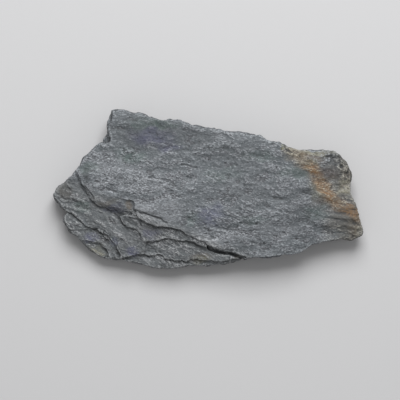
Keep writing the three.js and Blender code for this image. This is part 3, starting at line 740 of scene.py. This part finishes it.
def stand_out(points, normals, ends, passes):
    """How far the surface stands out of its surroundings, in millimetres: below nought in hollows."""
    smooth = points
    for _ in range(passes):
        smooth = neighbour_mean(smooth, ends)
    return np.einsum("ij,ij->i", points - smooth, normals)


def plate_tones(points, seed):
    """A number from 0 to 1 for each flake, the same all over it."""
    tones = []
    for slope, flakes, face_seed in FACES:
        axes = grain_axes(points, slope, face_seed)
        depth = np.floor(flake_steps(axes, flakes, face_seed + FACE_SEEDS["flakes"]) + 0.5)
        tones.append(lattice_value(depth.astype(np.int64), 0, 0, seed))
    return joined_faces(points, tones)


def slate_masks(points, normals, ends):
    """All masks by name, one number for each vertex."""
    fine = stand_out(points, normals, ends, FINE_PASSES)
    broad = stand_out(points, normals, ends, BROAD_PASSES)
    side = 1 - smoothstep(*SIDE, np.abs(normals[:, 2]))
    masks = {
        "crest": smoothstep(*CREST, fine),
        "hollow": smoothstep(*HOLLOW, -fine),
        "joint": smoothstep(*RECESS_SHADE, -broad),
        "side": side,
        "shingled": shingle_share(points),
        "tone": plate_tones(points, SEEDS["tone"]),
        "hue": plate_tones(points, SEEDS["hue"]),
        "stain": stain_mask(points),
        "warm": warm_mask(points),
        "broken": patch_mask(points, BROKEN_PATCHES),
    }
    for name, patches in PATCHES.items():
        masks[name] = patch_mask(points, patches) * (1 - SIDE_FADE * side)
    return masks


def store_masks(piece):
    """Keeps the masks on the mesh, where the material finds them."""
    for name, values in slate_masks(*mesh_arrays(piece.data)).items():
        attribute = piece.data.attributes.new(name, "FLOAT", "POINT")
        attribute.data.foreach_set("value", values.astype(np.float32))


# Materials


def add_node(material, kind, sockets=(), **settings):
    """Adds a node with these settings. Each of its sockets gets a value, or a link where the value
    is a pair of a node and the name or number of its output."""
    node = material.node_tree.nodes.new(kind)
    for name, value in settings.items():
        setattr(node, name, value)
    for socket, value in dict(sockets).items():
        if isinstance(value, tuple) and isinstance(value[0], bpy.types.Node):
            material.node_tree.links.new(value[0].outputs[value[1]], node.inputs[socket])
        else:
            node.inputs[socket].default_value = value
    return node


def new_material(name):
    """A material with no nodes yet."""
    material = bpy.data.materials.new(name)
    material.use_nodes = True
    material.node_tree.nodes.clear()
    return material


def grain_place(material):
    """Coordinates that run along the grain: those of the main plate, or of the shingled part."""
    place = add_node(material, "ShaderNodeTexCoord")
    shingled = add_node(material, "ShaderNodeAttribute", attribute_name="shingled")
    main_place, shingle_place = (
        add_node(
            material,
            "ShaderNodeMapping",
            {"Vector": (place, "Object"), "Rotation": (0, 0, math.atan(slope))},
        )
        for slope in (MAIN_GRAIN, SHINGLE_GRAIN)
    )
    sockets = {FACTOR: (shingled, "Fac"), VECTORS[0]: (main_place, 0), VECTORS[1]: (shingle_place, 0)}
    return add_node(material, "ShaderNodeMix", sockets, data_type="VECTOR"), MIXED_VECTOR


def drawn_grain(material, place, sizes, shape, settings):
    """Noise with features of the given sizes in millimetres, along the grain and across it."""
    along, across = (1 / (size * MM) for size in sizes)
    sockets = {"Vector": place, "Scale": (along, across, across)}
    mapping = add_node(material, "ShaderNodeMapping", sockets)
    sockets = {"Vector": (mapping, "Vector"), "Scale": 1.0, **shape}
    return add_node(material, "ShaderNodeTexNoise", sockets, **settings), "Fac"


def slate_shares(material):
    """The shares that the layers are laid by: masks, grains, and what is spread out of them."""
    place = grain_place(material)
    shares = {
        name: (add_node(material, "ShaderNodeAttribute", attribute_name=name), "Fac")
        for name in MASKS
    }
    for name, grain in GRAINS.items():
        shares[name] = drawn_grain(material, place, *grain)
    sockets = {0: shares["clouds"], 1: shares["pale"], 2: shares["pale"]}
    shares["frost"] = (add_node(material, "ShaderNodeMath", sockets, operation="MULTIPLY_ADD"), 0)
    for name, (source, low, high, least, most) in SPREAD.items():
        sockets = {
            "Value": shares[source],
            "From Min": low,
            "From Max": high,
            "To Min": least,
            "To Max": most,
        }
        shares[name] = (add_node(material, "ShaderNodeMapRange", sockets), "Result")
    for name, (operation, first, second) in COMBINED.items():
        sockets = {0: shares[first], 1: shares[second]}
        shares[name] = (add_node(material, "ShaderNodeMath", sockets, operation=operation), 0)
    return shares


def layered(material, lowest, colours, shares):
    """Lays the colours on the lowest one, each by the product of its shares."""
    below = (*lowest, 1)
    for colour, first, *others in LAYERS:
        cover = shares[first]
        for name in others:
            sockets = {0: cover, 1: shares[name]}
            cover = (add_node(material, "ShaderNodeMath", sockets, operation="MULTIPLY"), 0)
        blend = "MULTIPLY" if colour == "dimmest" else "MIX"
        sockets = {FACTOR: cover, COLOURS[0]: below, COLOURS[1]: colours[colour]}
        mix = add_node(material, "ShaderNodeMix", sockets, data_type="RGBA", blend_type=blend)
        below = (mix, MIXED_COLOUR)
    return below


def split_slate(settings):
    """Slate split along its cleavage by a blow: dull, because the mica lies in fine crumpled
    sheets, and in flakes of slightly different tone. Crests are bruised to pale powder, the mica's
    glints are painted as short light lines, pits are dark, hollows, recesses and the broken sides
    are darkened as painted shade, and rusty water has soaked into the end."""
    material = new_material("Split slate")
    shares = slate_shares(material)
    colours = {name: (*linear_colour(tint), 1) for name, (tint, _) in TINTS.items()}
    for name in ("slate", "slate_mauve", "slate_warm", "stain", "pit_and_shade"):
        colours[name] = (*getattr(settings, name), 1)
    colours["dimmest"] = (DIMMEST, DIMMEST, DIMMEST, 1)
    # The light colour of the powder and of the painted glints, beige where the stone is warm
    sockets = {
        FACTOR: shares["warm"],
        COLOURS[0]: (*settings.slate_light, 1),
        COLOURS[1]: (*settings.beige, 1),
    }
    powder_and_glint = add_node(material, "ShaderNodeMix", sockets, data_type="RGBA")
    colours["powder_and_glint"] = (powder_and_glint, MIXED_COLOUR)
    colour = layered(material, settings.slate_dark, colours, shares)
    sockets = {0: shares["fibres"], 1: shares["specks"]}
    height = (add_node(material, "ShaderNodeMath", sockets, operation="ADD"), 0)
    sockets = {"Height": height, "Strength": 1.0, "Distance": SLATE_BUMP * MM}
    bump = add_node(material, "ShaderNodeBump", sockets)
    sockets = {
        "Base Color": colour,
        "Roughness": shares["dull"],
        "IOR": SLATE_IOR,
        "Normal": (bump, "Normal"),
    }
    shader = add_node(material, "ShaderNodeBsdfPrincipled", sockets)
    add_node(material, "ShaderNodeOutputMaterial", {"Surface": (shader, "BSDF")})
    return material


def matt_card(colour):
    """Matt white card, as under a specimen: it shows no gloss and no grain at this distance."""
    material = new_material("Matt card")
    place = (add_node(material, "ShaderNodeTexCoord"), "Object")
    tooth = drawn_grain(material, place, *CARD_TOOTH)
    shaded = tuple(CARD_SHADE * channel for channel in colour)
    sockets = {FACTOR: tooth, COLOURS[0]: (*shaded, 1), COLOURS[1]: (*colour, 1)}
    shade = (add_node(material, "ShaderNodeMix", sockets, data_type="RGBA"), MIXED_COLOUR)
    sockets = {"Base Color": shade, "Roughness": CARD_ROUGHNESS, "IOR": CARD_IOR}
    shader = add_node(material, "ShaderNodeBsdfPrincipled", sockets)
    add_node(material, "ShaderNodeOutputMaterial", {"Surface": (shader, "BSDF")})
    return material


# Operators


class SLATE_OT_stone(bpy.types.Operator):
    """Rebuild the stone's surface with its grain, broken sheets and colours"""

    bl_idname = "slate.stone"
    bl_label = "Dress the stone"

    def execute(self, context):
        settings = context.scene.slate_settings
        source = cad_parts.get(NODE)
        if source is None:
            raise RuntimeError(f"the packed model has no node named {NODE}")
        piece = rebuilt_surface(source, settings.voxel)
        give_relief(piece, settings.relief)
        thin_underside(piece)
        store_masks(piece)
        piece.data.materials.clear()
        piece.data.materials.append(split_slate(settings))
        piece.data.shade_smooth()
        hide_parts(NODE)
        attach(piece, "root")
        return {"FINISHED"}


class SLATE_OT_stage(bpy.types.Operator):
    """Lay the floor and set the lights and the camera"""

    bl_idname = "slate.stage"
    bl_label = "Set the stage"

    def execute(self, context):
        settings = context.scene.slate_stage
        lay_floor(settings)
        light_stage(context.scene, settings)
        place_camera(context.scene)
        return {"FINISHED"}


def lay_floor(settings):
    """A plain floor of matt card, just below the stone."""
    half = FLOOR_SIZE * MM / 2
    mesh = bpy.data.meshes.new("floor")
    corners = [(-half, -half, 0), (half, -half, 0), (half, half, 0), (-half, half, 0)]
    mesh.from_pydata(corners, [], [(0, 1, 2, 3)])
    floor = bpy.data.objects.new("floor", mesh)
    floor.location.z = -FLOOR_GAP * MM
    bpy.context.scene.collection.objects.link(floor)
    mesh.materials.append(matt_card(tuple(settings.floor)))


def light_stage(scene, settings):
    """One large soft light from the back, and even light from all round."""
    key = bpy.data.objects.new("key", bpy.data.lights.new("key", "AREA"))
    key.data.shape = "SQUARE"
    key.data.size = KEY_SIZE * MM
    key.data.energy = settings.key_power
    key.location = Vector(KEY_PLACE) * MM
    key.rotation_euler = (-key.location).to_track_quat("-Z", "Y").to_euler()
    scene.collection.objects.link(key)
    world = bpy.data.worlds.new("even light")
    world.use_nodes = True
    world.node_tree.nodes["Background"].inputs["Strength"].default_value = settings.ambient
    world.node_tree.nodes["Background"].inputs["Color"].default_value = (1, 1, 1, 1)
    scene.world = world


def place_camera(scene):
    """A camera that looks straight down, as in the photograph."""
    camera = bpy.data.objects.new("camera", bpy.data.cameras.new("camera"))
    camera.data.sensor_width = SENSOR_WIDTH
    camera.data.lens = SENSOR_WIDTH * CAMERA_DISTANCE / VIEW_WIDTH
    camera.data.clip_end = FARTHEST_SEEN * MM
    height = CAMERA_DISTANCE + VIEW_HEIGHT_OF_FOCUS
    camera.location = Vector((*VIEW_CENTRE, height)) * MM
    scene.collection.objects.link(camera)
    scene.camera = camera
    scene.view_settings.view_transform = "Standard"


class SLATE_PT_panel(bpy.types.Panel):
    bl_idname = "SLATE_PT_panel"
    bl_label = "Slate fragment"
    bl_space_type = "VIEW_3D"
    bl_region_type = "UI"
    bl_category = "Slate"

    def draw(self, context):
        layout = self.layout
        for group in (context.scene.slate_settings, context.scene.slate_stage):
            for name in group.bl_rna.properties.keys():
                if name not in ("rna_type", "name"):
                    layout.prop(group, name)
        for operator in OPERATORS:
            layout.operator(operator.bl_idname)


OPERATORS = (SLATE_OT_stone, SLATE_OT_stage)
CLASSES = (SlateSettings, StageSettings, *OPERATORS, SLATE_PT_panel)


def register():
    for each in CLASSES:
        bpy.utils.register_class(each)
    bpy.types.Scene.slate_settings = bpy.props.PointerProperty(type=SlateSettings)
    bpy.types.Scene.slate_stage = bpy.props.PointerProperty(type=StageSettings)


def unregister():
    del bpy.types.Scene.slate_stage
    del bpy.types.Scene.slate_settings
    for each in reversed(CLASSES):
        bpy.utils.unregister_class(each)


def write_sizes():
    """Brings the view layer up to date."""
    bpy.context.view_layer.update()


def main():
    register()
    bpy.ops.slate.stone()
    bpy.ops.slate.stage()
    write_sizes()


if __name__ == "__main__":
    main()
